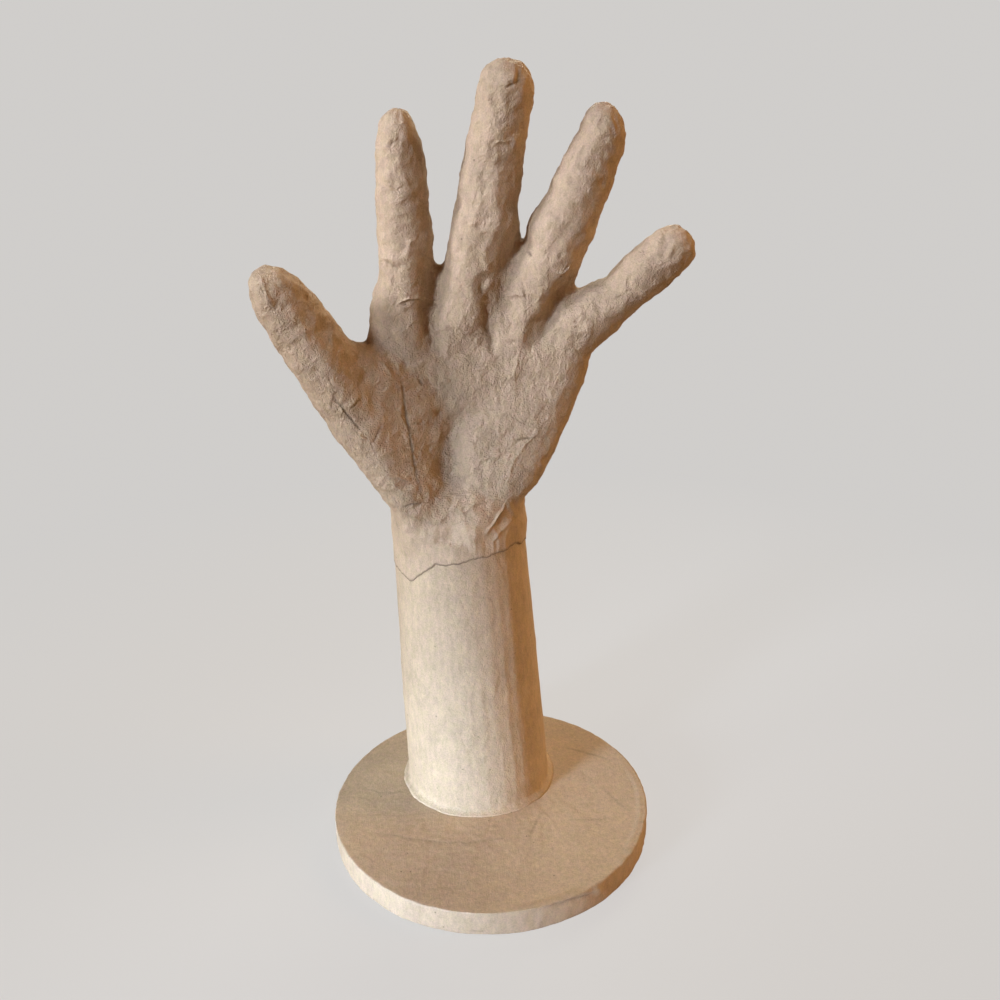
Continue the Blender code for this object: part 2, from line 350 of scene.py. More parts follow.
# Folds and torn edges of the palm side from the joint's middle: height in millimetres, then (x, z)
FOLDS = [
    (0.80, [(-20.6, 104.2), (-18.7, 105.6), (-16.8, 106.2), (-13.5, 105.8), (-10.6, 105.7)]),
    (0.80, [(47.5, 117.5), (45, 116.2), (42.8, 114.6)]),
    (0.18, [(-26.5, 79.6), (-22, 77.6), (-17.6, 76.8), (-11.8, 79.4), (-5.1, 81.1), (0, 82.3)]),
    (0.28, [(-24.5, 88.4), (-23.3, 91.7), (-20.4, 93.3), (-15.6, 95.8), (-11, 97.3)]),
    (0.35, [(-12.8, 70.7), (-10.3, 72.8)]),
    (1.00, [(12, 8.5), (14.7, 11.7), (17.4, 14.8), (19.6, 18.1), (21.4, 19.9)]),
    (0.60, [(13.2, 3.3), (16.7, 6.6), (20.3, 9.9), (23, 11.9)]),
    (0.30, [(25.5, 43), (22.8, 34.6), (20.6, 25.8)]),
    (0.45, [(38, 55.7), (34, 49.6), (26.3, 42.2), (21.7, 32)]),
    (0.30, [(28, 85.3), (26, 76), (24.9, 68.4)]),
    (0.35, [(20, 105.5), (25.4, 105.6), (31, 106.9)]),
    (0.70, [(-69.8, 118), (-67.9, 112.2), (-66, 106.9)]),
    (0.40, [(-28.8, 23.6), (-23.8, 20.9), (-19, 17.2), (-15.7, 14.9)]),
    (0.40, [(-2.9, 20.2), (2.2, 17.9), (7.7, 20.5), (14.1, 21.8)]),
    (0.40, [(-28.2, 36), (-22.9, 34.3), (-17.1, 33)]),
    (0.30, [(-28.6, 33.4), (-23.4, 31.9), (-18, 31)]),
    (0.60, [(-38, 55.1), (-36.8, 53.4), (-35.5, 52.1)]),
    (0.30, [(18, 163), (21.5, 164.8), (24, 164.6), (27, 166)]),
    (0.20, [(-22.7, 150.2), (-19, 148.6), (-15.7, 150.5)]),
    (0.50, [(-15.6, 126.8), (-14.8, 128.3), (-13.9, 129.8)]),
]
FOLD_WANDER = 0.8
FOLD_SEED = 180
FOLD_WIDTH = 0.6
FOLD_RIDGE = 0.9
FOLD_LEDGE = 0.4
FOLD_LEDGE_REACH = 5.0
# Painted shade on the low side of each fold, below its raised step: how dark it is and how wide
FOLD_SHADE = 0.7
FOLD_SHADE_WIDTH = 0.8

# Broad ridges and hollows of the palm side: height and half width in millimetres, then (x, z)
SWELLS = [
    (-0.9, 3.0, [(-6.5, 43), (-3.5, 48.6), (1.6, 54.7), (6.5, 58.4), (12.3, 61.8), (17, 64)]),
    (0.8, 6.5, [(4, 30), (7.1, 40), (10, 50)]),
    (1.2, 4.5, [(-9, 64), (-5.6, 53), (-3.5, 42), (-3.5, 28), (-5, 16)]),
    (0.7, 2.4, [(31, 104), (28, 85.3), (26, 76), (24.9, 68.4), (22, 60)]),
    (-1.9, 2.0, [(13, 116), (13.9, 107.3), (14.8, 102.4), (15.5, 93.6), (16.8, 89.4), (18, 82)]),
    (-1.5, 2.4, [(52, 116), (45, 108), (41, 99), (38, 91), (36, 84)]),
    (1.0, 3.6, [(-66, 120), (-62.1, 111.9), (-56.4, 99.5), (-48.1, 85.4), (-42.8, 74.8), (-38, 64)]),
    (-1.9, 3.4, [(-4.5, 122), (-6.5, 112), (-8, 100), (-7.5, 90), (-5, 79)]),
    (0.7, 1.8, [(19.5, 154), (18.5, 143), (17.5, 133), (14, 122)]),
    (-0.5, 1.4, [(15, 154), (14.2, 143), (12.5, 133)]),
    (0.6, 5.0, [(-16, 96), (-17.5, 86), (-17, 76)]),
]
SWELL_WANDER = 1.2
SWELL_SEED = 260

# Folds where the paper is gathered over each fingertip: height, size and first seed, how far round
# the tip and back along the limb they are drawn out, how far in front of the limb's axis they meet,
# how far back they end, and how near to the tip a place must lie
PINCH_HEIGHT = 0.35
PINCH_SIZE = 3.6
PINCH_SEED = 300
PINCH_AROUND = 9.0
PINCH_STRETCH = 1.6
PINCH_FRONT = 6.0
PINCH_ENDS = (24.0, 10.0)
PINCH_NEAR = 16.0

# How three tips differ from the solid's: the shares by which they are narrower towards -X and
# towards +X, the share of the reach over which they stay so, how much the end slopes back towards
# +X, per millimetre squared, and how much longer it is
SHAPED_TIPS = {
    "index": (0.10, 0.26, 0.4, 0.0, 0.0),
    "ring": (-0.10, 0.10, 0.0, 0.04, 0.6),
    "thumb": (0.16, 0.12, 0.4, 0.0, 0.0),
}
TIP_REACH = 16.0
TIP_SLOPE = (-6.0, 3.0)
TIP_NEAR = 14.0

# Webs between the fingers, from the joint's middle: their lowest place (x, z), how far the skin goes
# below the solid's there, and the share by which the gap above it closes in to a narrow V. The first
# reach in x and z is for the drop, and the second for the closing.
WEBS = [((-3.0, 128.0), 4.8, 0.15), ((30.0, 134.0), 4.4, 0.75), ((64.0, 112.0), 2.2, 0.0)]
WEB_REACHES = [(6.0, 8.0), (10.0, 6.5)]


def limb_end(limb):
    """A limb's tip, and the way along the limb to it."""
    root, tip = (np.array([x, 0.0, z]) for x, z in LIMBS[limb])
    return tip, (tip - root) / np.linalg.norm(tip - root)


def tip_pinches(places):
    """Folds where the paper is gathered over each fingertip, running in to the tip."""
    push = np.zeros(len(places))
    for count, limb in enumerate(LIMBS):
        tip, axis = limb_end(limb)
        away = places - tip
        back = -(away @ axis)
        across = away + back[:, None] * axis
        off = across @ np.cross(axis, (0.0, 1.0, 0.0))
        turn = np.arctan2(across[:, 1] + PINCH_FRONT, off)
        folded = np.stack([np.cos(turn) * PINCH_AROUND, np.sin(turn) * PINCH_AROUND,
                           back / PINCH_STRETCH], axis=1)
        near = ramp(back, *PINCH_ENDS) * (back > -PINCH_NEAR) * (np.abs(off) < PINCH_NEAR)
        push += crumple(folded, PINCH_SIZE, PINCH_SEED + count * 20) * near
    return push


def shape_tips(places):
    """How far to move each place so that three tips come to their own ends."""
    shift = np.zeros((len(places), 3))
    for limb, (left, right, hold, slope, longer) in SHAPED_TIPS.items():
        tip, axis = limb_end(limb)
        side = np.array([axis[2], 0.0, -axis[0]])
        away = places - tip
        back = -(away @ axis)
        off = away @ side
        near = 1.0 - ramp(back, hold * TIP_REACH, TIP_REACH)
        near *= (np.abs(off) < TIP_NEAR) & (back > -TIP_NEAR)
        shift -= (near * off * np.where(off > 0, right, left))[:, None] * side
        sloped = np.clip(off, *TIP_SLOPE) - TIP_SLOPE[0]
        shift += (near * (longer - slope * sloped ** 2))[:, None] * axis
    return shift


def deepen_webs(moved, places):
    """Lowers the webs between the fingers and draws the gaps above them together."""
    for (x, z), drop, closing in WEBS:
        off, above = places[:, 0] - x, places[:, 2] - z
        lowered, closed = (bell(off, wide) * bell(above, high) for wide, high in WEB_REACHES)
        moved[:, 2] -= drop * lowered
        moved[:, 0] -= closing * off * closed


def even_grid(piece):
    """Gives a piece small even faces, smoothed a little."""
    grid = piece.modifiers.new("grid", "REMESH")
    grid.mode = "VOXEL"
    grid.voxel_size = HAND_GRID
    soften = piece.modifiers.new("soften", "SMOOTH")
    soften.factor = HAND_SMOOTHED
    soften.iterations = HAND_SMOOTHING
    apply_modifiers(piece)


def refine_near(mesh, joint, polylines, reach_out):
    """Divides the palm side's faces that lie near any of the lines."""
    places = read_places(mesh) - joint
    near = np.full(len(places), 1e9)
    for points in polylines:
        near = np.minimum(near, Line(places, points, 0.0, 0).off)
    inside = (near < reach_out) & (read_normals(mesh)[:, 1] < FINER_FACING)
    bm = bmesh.new()
    bm.from_mesh(mesh)
    bm.verts.ensure_lookup_table()
    edges = [edge for edge in bm.edges if inside[edge.verts[0].index] and inside[edge.verts[1].index]]
    bmesh.ops.subdivide_edges(bm, edges=edges, cuts=1, use_grid_fill=True)
    bmesh.ops.triangulate(bm, faces=[face for face in bm.faces if len(face.verts) > 4])
    bm.to_mesh(mesh)
    bm.free()


def hand_relief(places, normals):
    """How far the hand's skin stands out at each place, its strips' tone, and how dark it is, with
    painted shade in its cracks and beside its folds.
    """
    level = places[:, 2]
    palm = np.clip(-normals[:, 1] * PALM_FADE, 0.0, 1.0)
    lively = PALM_LIVELY + FINGERS_LIVELIER * ramp(level, *FINGERS_BEGIN)
    regional = REGIONS_SHARE + lumps(places, REGIONS)
    layers, tone, edge = paper_strips(places, normals, *HAND_STRIPS)
    push = PAPER * HAND_RELIEF * (layers - layers.mean())
    push += lively * lumps(places, HAND_LUMPS)
    push += lively * (regional * lumps(places, HAND_BROAD_CREASES, crumple)
                      + lumps(places, HAND_SMALL_CREASES, crumple))
    push += lumps(places, HAND_SMALL_LUMPS) + PINCH_HEIGHT * tip_pinches(places)
    push *= ramp(level, *RELIEF_BEGINS)

    dark = edge * HAND_EDGES_DARK
    for (depth, darkness), crack in drawn_lines(places, CRACKS, CRACK_WANDER, CRACK_SEED):
        push += palm * (CRACK_LEDGE * crack.ledge(CRACK_LEDGE_REACH) - depth * crack.bump(CRACK_WIDTH))
        # Painted shade in each crack
        dark = np.maximum(dark, palm * darkness * crack.bump(CRACK_SHADE_WIDTH))
    for (height,), fold in drawn_lines(places, FOLDS, FOLD_WANDER, FOLD_SEED):
        push += palm * height * (FOLD_RIDGE * fold.bump(FOLD_WIDTH)
                                 + FOLD_LEDGE * fold.ledge(FOLD_LEDGE_REACH))
        # Painted shade beside each fold, on the side below its step
        shade = np.where(fold.side < 0, fold.bump(FOLD_SHADE_WIDTH), 0.0)
        dark = np.maximum(dark, palm * FOLD_SHADE * height * shade)
    for (height, half_width), swell in drawn_lines(places, SWELLS, SWELL_WANDER, SWELL_SEED):
        push += palm * height * swell.bump(half_width)
    return push, tone, dark


def build_hand(joint, material):
    piece = new_object("hand_skin", welded_copy("hand"))
    even_grid(piece)
    mesh = piece.data
    for reach_out in FINER:
        refine_near(mesh, joint, [row[-1] for row in CRACKS + FOLDS], reach_out)
    places = read_places(mesh)
    normals = read_normals(mesh)
    local = places - joint
    push, tone, dark = hand_relief(local, normals)
    moved = places + normals * push[:, None] + shape_tips(local)
    deepen_webs(moved, local)
    write_places(mesh, moved)

    level = local[:, 2]
    calm = np.maximum(FINGERS_CALM_SHARE * ramp(level, *FINGERS_CALM),
                      WRIST_CALM_SHARE * ramp(level, *WRIST_CALM))
    write_shares(mesh, tone=tone, dark=dark, calm=calm)
    thin = piece.modifiers.new("thin", "DECIMATE")
    thin.ratio = HAND_SHARE_KEPT
    apply_modifiers(piece)
    dress(piece, "hand", material)
    return piece


def turns_round(count, start=0.0):
    return start + np.arange(count) * 2 * math.pi / count


def ways_out(turns):
    """The level way out at each turn."""
    return np.stack([np.cos(turns), np.sin(turns), np.zeros(len(turns))], axis=1)


def grid_faces(rows, around, close_rows=False):
    """The faces between rows of vertices that go round, row after row."""
    faces = []
    last = rows if close_rows else rows - 1
    for row in range(last):
        low, high = row * around, (row + 1) % rows * around
        for i in range(around):
            k = (i + 1) % around
            faces.append((low + i, low + k, high + k, high + i))
    return faces


def skin_from(name, places, faces):
    """A piece from places in millimetres and faces between them."""
    mesh = bpy.data.meshes.new(name)
    mesh.from_pydata((places * MM).tolist(), [], faces)
    mesh.validate()
    mesh.update()
    return new_object(name, mesh)


def surface_tree(meshes):
    """One search tree over the surfaces of several meshes."""
    points, triangles = [], []
    for mesh in meshes:
        start = len(points)
        points.extend(vertex.co.copy() for vertex in mesh.vertices)
        triangles.extend([start + i for i in face.vertices] for face in mesh.polygons)
    return BVHTree.FromPolygons(points, triangles)


# How far out rays towards a centre line start
RAY_START = 120 * MM


def reach(tree, centre, turn):
    """How far the surface lies from a centre line, at a level and a turn, in millimetres."""
    way = Vector((math.cos(turn), math.sin(turn), 0.0))
    start = Vector(centre) * MM + way * RAY_START
    hit = tree.ray_cast(start, -way, RAY_START)[0]
    return (RAY_START - (hit - start).length) / MM if hit else None


# The forearm's mesh: steps round and up, how near to the top they end, the levels of its flare at
# the foot, how often its creases are softened, and the wall of its inside
FOREARM_AROUND = 360
FOREARM_STEP = 0.9
FOREARM_LAST = 0.3
FLARE_LEVELS = (0.0, 0.35, 0.8, 1.3, 1.9, 2.6)
FOREARM_SOFTENING = 3
FOREARM_WALL = 2.5

# How far the paper at the forearm's foot runs down and out onto the base
FOOT_SINK = 0.6
FOOT_SPREAD = 0.7

# The forearm's relief, written like the hand's. Its waves are drawn out along it, its foot is
# lumpier and stands out a little more, and the relief fades out below its top.
FOREARM_RELIEF = 0.22
FOREARM_EDGES_DARK = 0.08
FOREARM_WAVES = [(0.14, 17.0, 24)]
FOREARM_WAVES_ALONG = 0.4
FOREARM_LUMPS = [(0.05, 5.0, 25)]
FOREARM_CREASES = [(0.03, 4.0, 26)]
FOOT_OUT = 0.1
FOOT_LUMPS = [(0.35, 9.0, 27), (0.25, 3.0, 28)]
FOOT_HEIGHT = 3.0
TOP_FADE = 2.0


def build_forearm(joint, material):
    low, high = (Vector(corner).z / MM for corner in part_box("forearm_tube"))
    solid = solid_mesh("forearm_tube")
    tree = surface_tree([solid])
    vertices = read_places(solid)
    foot = edge_middle(vertices[vertices[:, 2] < low + EDGE_NEAR])
    top = np.array([joint[0], joint[1], high])

    turns = turns_round(FOREARM_AROUND)
    out_ring = ways_out(turns)
    flare = low + np.array(FLARE_LEVELS)
    levels = np.concatenate([flare, np.arange(flare[-1] + FOREARM_STEP, high - FOREARM_LAST,
                                              FOREARM_STEP), [high]])
    rows = []
    for level in levels:
        centre = foot + (top - foot) * (level - low) / (high - low)
        centre[2] = min(max(level, low + EDGE_INSIDE), high - EDGE_INSIDE)
        radii = np.array([reach(tree, centre, turn) for turn in turns], float)
        for _ in range(FOREARM_SOFTENING):
            radii = (np.roll(radii, 1) + 2 * radii + np.roll(radii, -1)) / 4
        centre[2] = level
        rows.append(centre + out_ring * radii[:, None])
    rows[0] = rows[0] + out_ring * FOOT_SPREAD - (0.0, 0.0, FOOT_SINK)
    outer = np.concatenate(rows)
    out = np.tile(out_ring, (len(rows), 1))

    layers, tone, edge = paper_strips(outer, out, *FOREARM_STRIPS)
    push = FOREARM_RELIEF * PAPER * (layers - layers.mean())
    push += lumps(outer * (1, 1, FOREARM_WAVES_ALONG), FOREARM_WAVES)
    push += lumps(outer, FOREARM_LUMPS) + lumps(outer, FOREARM_CREASES, crumple)
    at_foot = ramp(outer[:, 2], low + FOOT_HEIGHT, low)
    push += at_foot * (FOOT_OUT + lumps(outer, FOOT_LUMPS))
    push *= ramp(outer[:, 2], high, high - TOP_FADE)
    outer = outer + out * push[:, None]

    inside_top = rows[-1] - out_ring * FOREARM_WALL
    inside_flare = rows[len(FLARE_LEVELS) - 1] - out_ring * FOREARM_WALL
    inside_foot = inside_flare.copy()
    inside_foot[:, 2] = low
    places = np.concatenate([outer, inside_top, inside_flare, inside_foot])
    faces = grid_faces(len(places) // FOREARM_AROUND, FOREARM_AROUND, close_rows=True)
    piece = skin_from("forearm_skin", places, faces)
    write_shares(piece.data, tone=tone, dark=edge * FOREARM_EDGES_DARK)
    dress(piece, "forearm_tube", material)
    return piece


# The base's mesh: steps round; steps out over its top, up to so near the rounding of its edge; steps
# down its rim, from so far below the rounding to a level; the rounding; the rings where the rim turns
# under, as inset and level; and the last ring, as a share of the radius
BASE_AROUND = 420
BASE_STEP = 1.1
BASE_LAST = 0.3
RIM_STEP = 0.75
RIM_FIRST = 0.7
RIM_LAST = 0.9
BASE_ROUND = 1.0
BASE_ROUND_STEPS = 4
RIM_FOOT = [(0.1, 0.45), (0.5, 0.08), (1.2, 0.0)]
UNDER_RING = 0.5

# How much of the rounding still belongs to the top, by depth and by width, over how far in the rim's
# relief fades, and how high above the table it begins
TOP_DEEP = 0.9
TOP_WIDE = 0.5
RIM_FADE = 2.0
RIM_BEGINS = 0.02

# The base's relief, written like the hand's, with limits to what stands out from the rim
TOP_RELIEF = 0.2
TOP_LUMPS = [(0.16, 22.0, 32), (0.04, 5.0, 33)]
TOP_CREASES = [(0.035, 5.0, 34)]
RIM_RELIEF = 0.3
RIM_LUMPS = [(0.22, 16.0, 41), (0.16, 5.0, 42)]
RIM_CREASES = [(0.16, 4.0, 43)]
RIM_LIMITS = (-0.7, 0.8)
BASE_EDGES_DARK = 0.12

# Faint folds in the paper on top of the base, as (x, y)
BASE_LINES = {
    "behind the forearm": [(37.8, 39.2), (46.1, 34.5), (55.7, 28.9), (62.7, 24.4)],
    "in front": [(17.1, -29.5), (19.9, -20.9), (23.7, -11.3)],
    "to the right": [(34.4, -18.1), (45.5, -18), (58.6, -17.2)],
    "across the front": [(-55, -22), (-38, -27.5), (-12, -32), (10, -29)],
    "left": [(-62, 10), (-52, 6), (-40, 6)],
    "right edge": [(54, 5), (60, -8), (66, -14)],
}
BASE_LINE_WANDER = 0.7
BASE_LINE_SEED = 210
BASE_LINE_LEDGE = 0.07
BASE_LINE_LEDGE_REACH = 9.0
BASE_LINE_DEPTH = 0.04
BASE_LINE_WIDTH = 0.8
BASE_LINE_DARK = 0.5
BASE_LINE_DARK_WIDTH = 0.6

# Folds, slits and lumps of the paper on the base's rim: height, darkness of the painted shade along
# them, strongest in the slits, half width, then how far round from the front and how high
RIM_LINES = [
    (0.9, 0.15, 1.0, [(8.5, 12.6), (15.4, 12.2), (22.2, 12.6), (29.1, 12), (38, 11.5), (47, 9.3)]),
    (-0.5, 0.7, 0.6, [(20, 11), (30, 10.6), (40, 9.6), (47.5, 7.6)]),
    (0.9, 0.0, 1.6, [(45, 10.5), (49, 8), (50, 5.5)]),
    (-0.3, 0.9, 0.45, [(-12.6, 2.7), (-8, 2.5), (-3.6, 2.1)]),
    (0.4, 0.1, 2.0, [(63, 12), (68, 12.6)]),
    (0.4, 0.1, 1.6, [(71, 12.5), (76, 12)]),
    (0.4, 0.1, 2.0, [(98, 12.5), (103, 12)]),
]
RIM_LINE_WANDER = 0.5
RIM_LINE_SEED = 240
RIM_LINE_RISE = 0.5
RIM_LINE_SHADE_WIDTH = 0.7
RIM_NEAR = 3.0

# The paper that is folded over the rim on the right: how far in it ends and how raggedly, where it
# begins and ends as turns from the front, the height and half width of its edge, and its thickness
OVERLAP = 3.6
OVERLAP_EDGE = [(0.5, 6.0, 44)]
OVERLAP_BEGINS = (0.75, 1.05)
OVERLAP_ENDS = (1.9, 1.7)
OVERLAP_RIDGE = 0.30
OVERLAP_RIDGE_WIDTH = 0.7
OVERLAP_THICK = 0.12


def base_profile(radius, thick):
    """The base's section from the middle of its top to its underside, as (radius, level)."""
    profile = [(r, thick) for r in np.arange(BASE_STEP, radius - BASE_ROUND - BASE_LAST, BASE_STEP)]
    for step in range(BASE_ROUND_STEPS + 1):
        bend = math.pi / 2 * step / BASE_ROUND_STEPS
        profile.append((radius - BASE_ROUND + BASE_ROUND * math.sin(bend),
                        thick - BASE_ROUND + BASE_ROUND * math.cos(bend)))
    profile += [(radius, z) for z in np.arange(thick - BASE_ROUND - RIM_FIRST, RIM_LAST, -RIM_STEP)]
    profile += [(radius - inset, level) for inset, level in RIM_FOOT]
    return profile + [(radius * UNDER_RING, 0.0)]


def base_relief(places, outward, radius, thick):
    """How far each place moves, its strips' tone, and how dark it is, with painted shade along the
    rim's slits and folds.
    """
    run = np.hypot(places[:, 0], places[:, 1])
    top = (places[:, 2] > thick - BASE_ROUND * TOP_DEEP) & (run < radius - BASE_ROUND * TOP_WIDE)
    side = ramp(run, radius - RIM_FADE, radius) * (places[:, 2] > RIM_BEGINS)
    up = np.array([0.0, 0.0, 1.0])
    layers, tone, edge = paper_strips(places, np.where(top[:, None], up, outward), *BASE_STRIPS)
    dark = edge * BASE_EDGES_DARK

    rise = TOP_RELIEF * PAPER * (layers - layers[top].mean())
    rise += lumps(places, TOP_LUMPS) + lumps(places, TOP_CREASES, crumple)
    rise *= top
    seen_from_above = places[:, [0, 2, 1]]
    rows = [(points,) for points in BASE_LINES.values()]
    for _, line in drawn_lines(seen_from_above, rows, BASE_LINE_WANDER, BASE_LINE_SEED):
        rise += top * (BASE_LINE_LEDGE * line.ledge(BASE_LINE_LEDGE_REACH)
                       - BASE_LINE_DEPTH * line.bump(BASE_LINE_WIDTH))
        dark = np.maximum(dark, top * BASE_LINE_DARK * line.bump(BASE_LINE_DARK_WIDTH))

    out = RIM_RELIEF * PAPER * (layers - layers.mean())
    out += lumps(places, RIM_LUMPS) + lumps(places, RIM_CREASES, crumple)
    out *= side
    from_front = np.arctan2(places[:, 0], -places[:, 1])
    unrolled = np.stack([from_front * radius, np.zeros(len(places)), places[:, 2]], axis=1)
    near = run > radius - RIM_NEAR
    for numbers, line in drawn_lines(unrolled, RIM_LINES, RIM_LINE_WANDER, RIM_LINE_SEED):
        height, darkness, half_width = numbers
        out += side * height * line.bump(half_width)
        rise += near * max(height, 0.0) * RIM_LINE_RISE * line.bump(half_width)
        # Painted shade along the rim's lines, strongest in the slits
        dark = np.maximum(dark, near * darkness * line.bump(half_width * RIM_LINE_SHADE_WIDTH))

    over = top * ramp(from_front, *OVERLAP_BEGINS) * ramp(from_front, *OVERLAP_ENDS)
    past = run - (radius - OVERLAP + lumps(places, OVERLAP_EDGE))
    rise += over * (OVERLAP_RIDGE * bell(past, OVERLAP_RIDGE_WIDTH) + OVERLAP_THICK * (past > 0))
    return up * rise[:, None] + outward * np.clip(out, *RIM_LIMITS)[:, None], tone, dark


def build_base(material):
    low, high = (Vector(corner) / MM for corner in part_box("base_disc"))
    radius = (high.x - low.x) / 2
    thick = high.z
    ways = ways_out(turns_round(BASE_AROUND))
    profile = base_profile(radius, thick)
    places = np.concatenate([ways * r + (0.0, 0.0, z) for r, z in profile])
    outward = np.tile(ways, (len(profile), 1))
    shift, tone, dark = base_relief(places, outward, radius, thick)

    centre_top, centre_low = len(places), len(places) + 1
    places = np.concatenate([places + shift, [[0.0, 0.0, thick]], [[0.0, 0.0, 0.0]]])
    faces = [face[::-1] for face in grid_faces(len(profile), BASE_AROUND)]
    last = (len(profile) - 1) * BASE_AROUND
    for i in range(BASE_AROUND):
        k = (i + 1) % BASE_AROUND
        faces.append((centre_top, i, k))
        faces.append((centre_low, last + k, last + i))
    piece = skin_from("base_skin", places, faces)
    write_shares(piece.data, tone=tone, dark=dark)
    dress(piece, "base_disc", material)
    return piece


# The torn paper round the wrist: how finely it is divided and how much closer at its lower edge,
# how far it reaches up the hand, how much of the joint it bridges, how far below the joint the
# forearm's top edge is felt for, and how steeply the paper may fall away from that edge
LAP_AROUND = 420
LAP_STEPS = 34
LAP_BACK_STEPS = 3
LAP_CLOSER = 1.3
LAP_TOP = 16.0
LAP_BRIDGE = 4.5
LAP_EDGE_BELOW = 0.3
LAP_TENT = 0.12

# Its torn lower edge as turn in degrees from +X and level, how ragged its edges are on a ring of
# this radius, how dark the torn edge is, with a painted shadow along it, over how far, and how calm its
# paper lies
LAP_EDGE = [(-180, 131), (-150, 128), (-138, 127.4), (-125, 132.7), (-112, 137.3), (-100, 138.2),
            (-90, 138.0), (-76, 140.0), (-62, 140.6), (-48, 141.5), (-32, 141.5), (-15, 140),
            (10, 137), (40, 134), (75, 137), (110, 133), (145, 136)]
LAP_RADIUS = 30
LAP_RAGGED = [(0.7, 5.0, 71), (0.6, 1.8, 72), (0.3, 0.9, 77)]
LAP_TOP_RAGGED = [(3.0, 20.0, 73)]
LAP_EDGE_DARK_AND_SHADOW = 0.85
LAP_EDGE_DARK_AND_SHADOW_VARIES = [(0.15, 7.0, 78)]
LAP_EDGE_DARK_AND_SHADOW_WIDTH = 0.75
LAP_CALM = 0.72

# Its lumps and creases, and how its tone varies. It thins out over the first shares of its height,
# and sinks into the hand's skin over the second. Its back lies so far inside its front, and at least
# so deep in the skin.
LAP_LUMPS = [(0.10, 6.0, 74)]
LAP_CREASES = [(0.05, 3.0, 75)]
LAP_TONE = [(0.4, 9.0, 76)]
LAP_THINS = (0.45, 1.0)
LAP_SINKS = (0.7, 1.0)
LAP_SINK = 0.5
LAP_THICK = 0.4
LAP_BACK_DEEP = 0.15


def bridged_skin(tree, joint, turns, levels):
    """The skin's points at one level for each turn, bridging the joint's gap."""
    def far_at(level, turn):
        return reach(tree, (joint[0], joint[1], level), turn)

    below = joint[2] - LAP_BRIDGE
    above = joint[2] + LAP_BRIDGE
    edge_level = joint[2] - LAP_EDGE_BELOW
    points = []
    for turn, level in zip(turns, levels):
        if below < level < above:
            share = ramp(level, below, above)
            far = far_at(below, turn) * (1 - share) + far_at(above, turn) * share
            far = max(far, far_at(edge_level, turn) - LAP_TENT * abs(level - edge_level))
        else:
            far = far_at(level, turn)
        points.append((joint[0] + far * math.cos(turn), joint[1] + far * math.sin(turn), level))
    return np.array(points)


def build_lap(joint, skins, material):
    """The torn paper lapped over the joint at the wrist, thinning out upwards into the hand."""
    tree = surface_tree([skin.data for skin in skins])
    turns = turns_round(LAP_AROUND, -math.pi)
    out = ways_out(turns)
    ring = out * LAP_RADIUS
    angles, levels = np.array(LAP_EDGE + [(180, LAP_EDGE[0][1])], float).T
    low = np.interp(turns, np.radians(angles), levels) + lumps(ring, LAP_RAGGED)
    high = joint[2] + LAP_TOP + lumps(ring, LAP_TOP_RAGGED)
    darkness = LAP_EDGE_DARK_AND_SHADOW + lumps(ring, LAP_EDGE_DARK_AND_SHADOW_VARIES)

    rows, backs, darks = [], [], []
    for step in range(LAP_STEPS + 1):
        share = (step / LAP_STEPS) ** LAP_CLOSER
        from_edge = (high - low) * share
        base = bridged_skin(tree, joint, turns, low + from_edge)
        rise = PAPER + lumps(base, LAP_LUMPS) + lumps(base, LAP_CREASES, crumple)
        rise = rise * (1.0 - ramp(share, *LAP_THINS)) - LAP_SINK * ramp(share, *LAP_SINKS)
        rows.append(base + out * rise[:, None])
        # The torn edge's darker paper, with a painted shadow along it as under the paper's raised edge
        darks.append(bell(from_edge, LAP_EDGE_DARK_AND_SHADOW_WIDTH) * darkness)
        if step % LAP_BACK_STEPS == 0 or step == LAP_STEPS:
            backs.append(base + out * np.minimum(rise - LAP_THICK, -LAP_BACK_DEEP)[:, None])
    places = np.concatenate(rows + backs[::-1])
    faces = grid_faces(len(rows) + len(backs), LAP_AROUND, close_rows=True)
    piece = skin_from("wrist_lap", places, faces)
    dark = np.concatenate(darks + [darks[0]] * len(backs))
    write_shares(piece.data, tone=lumps(places, LAP_TONE), dark=dark, calm=np.full(len(dark), LAP_CALM))
    dress(piece, None, material)
    return piece


# The papers: their colour, how crinkled they are, and how rough their grain is
PAPERS = {
    "hand_kraft": ((0.61, 0.467, 0.32), 1.2, 3.0),
    "forearm_kraft": ((0.625, 0.485, 0.33), 0.3, 0.6),
    "base_kraft": ((0.60, 0.465, 0.325), 0.10, 0.15),
}

# The brown that darker torn edges and the painted shade in cracks, slits, beside folds and along the
# wrist paper's edge tend to, how far above its plain colour the paper's palest one lies, and how its
# hue varies
PAPER_DARK = (0.055, 0.030, 0.014)
PAPER_RANGE = 1.25
YELLOWER = (0.985, 1.005, 0.96, 1.0)
PINKER = (1.015, 0.995, 1.04, 1.0)

# The paper's noises: size in millimetres, detail, roughness and distortion
MOTTLE = (12.0, 5.0, 0.6, 0.0)
GRAIN = (0.6, 1.0, 0.5, 0.0)
STRANDS = (0.6, 1.0, 0.4, 0.5)
PATCHES = (2.0, 3.0, 0.65, 0.0)
HUES = (3.2, 2.0, 0.5, 0.0)
FINE_CREASES = (1.6, 4.0, 0.7, 0.6)
BROAD_CREASES = (4.0, 3.0, 0.5, 0.8)

# The middle part of a noise's values, which is spread over the whole of what it changes
NOISE_SPAN = (0.3, 0.7)
HUE_SPAN = (0.35, 0.65)

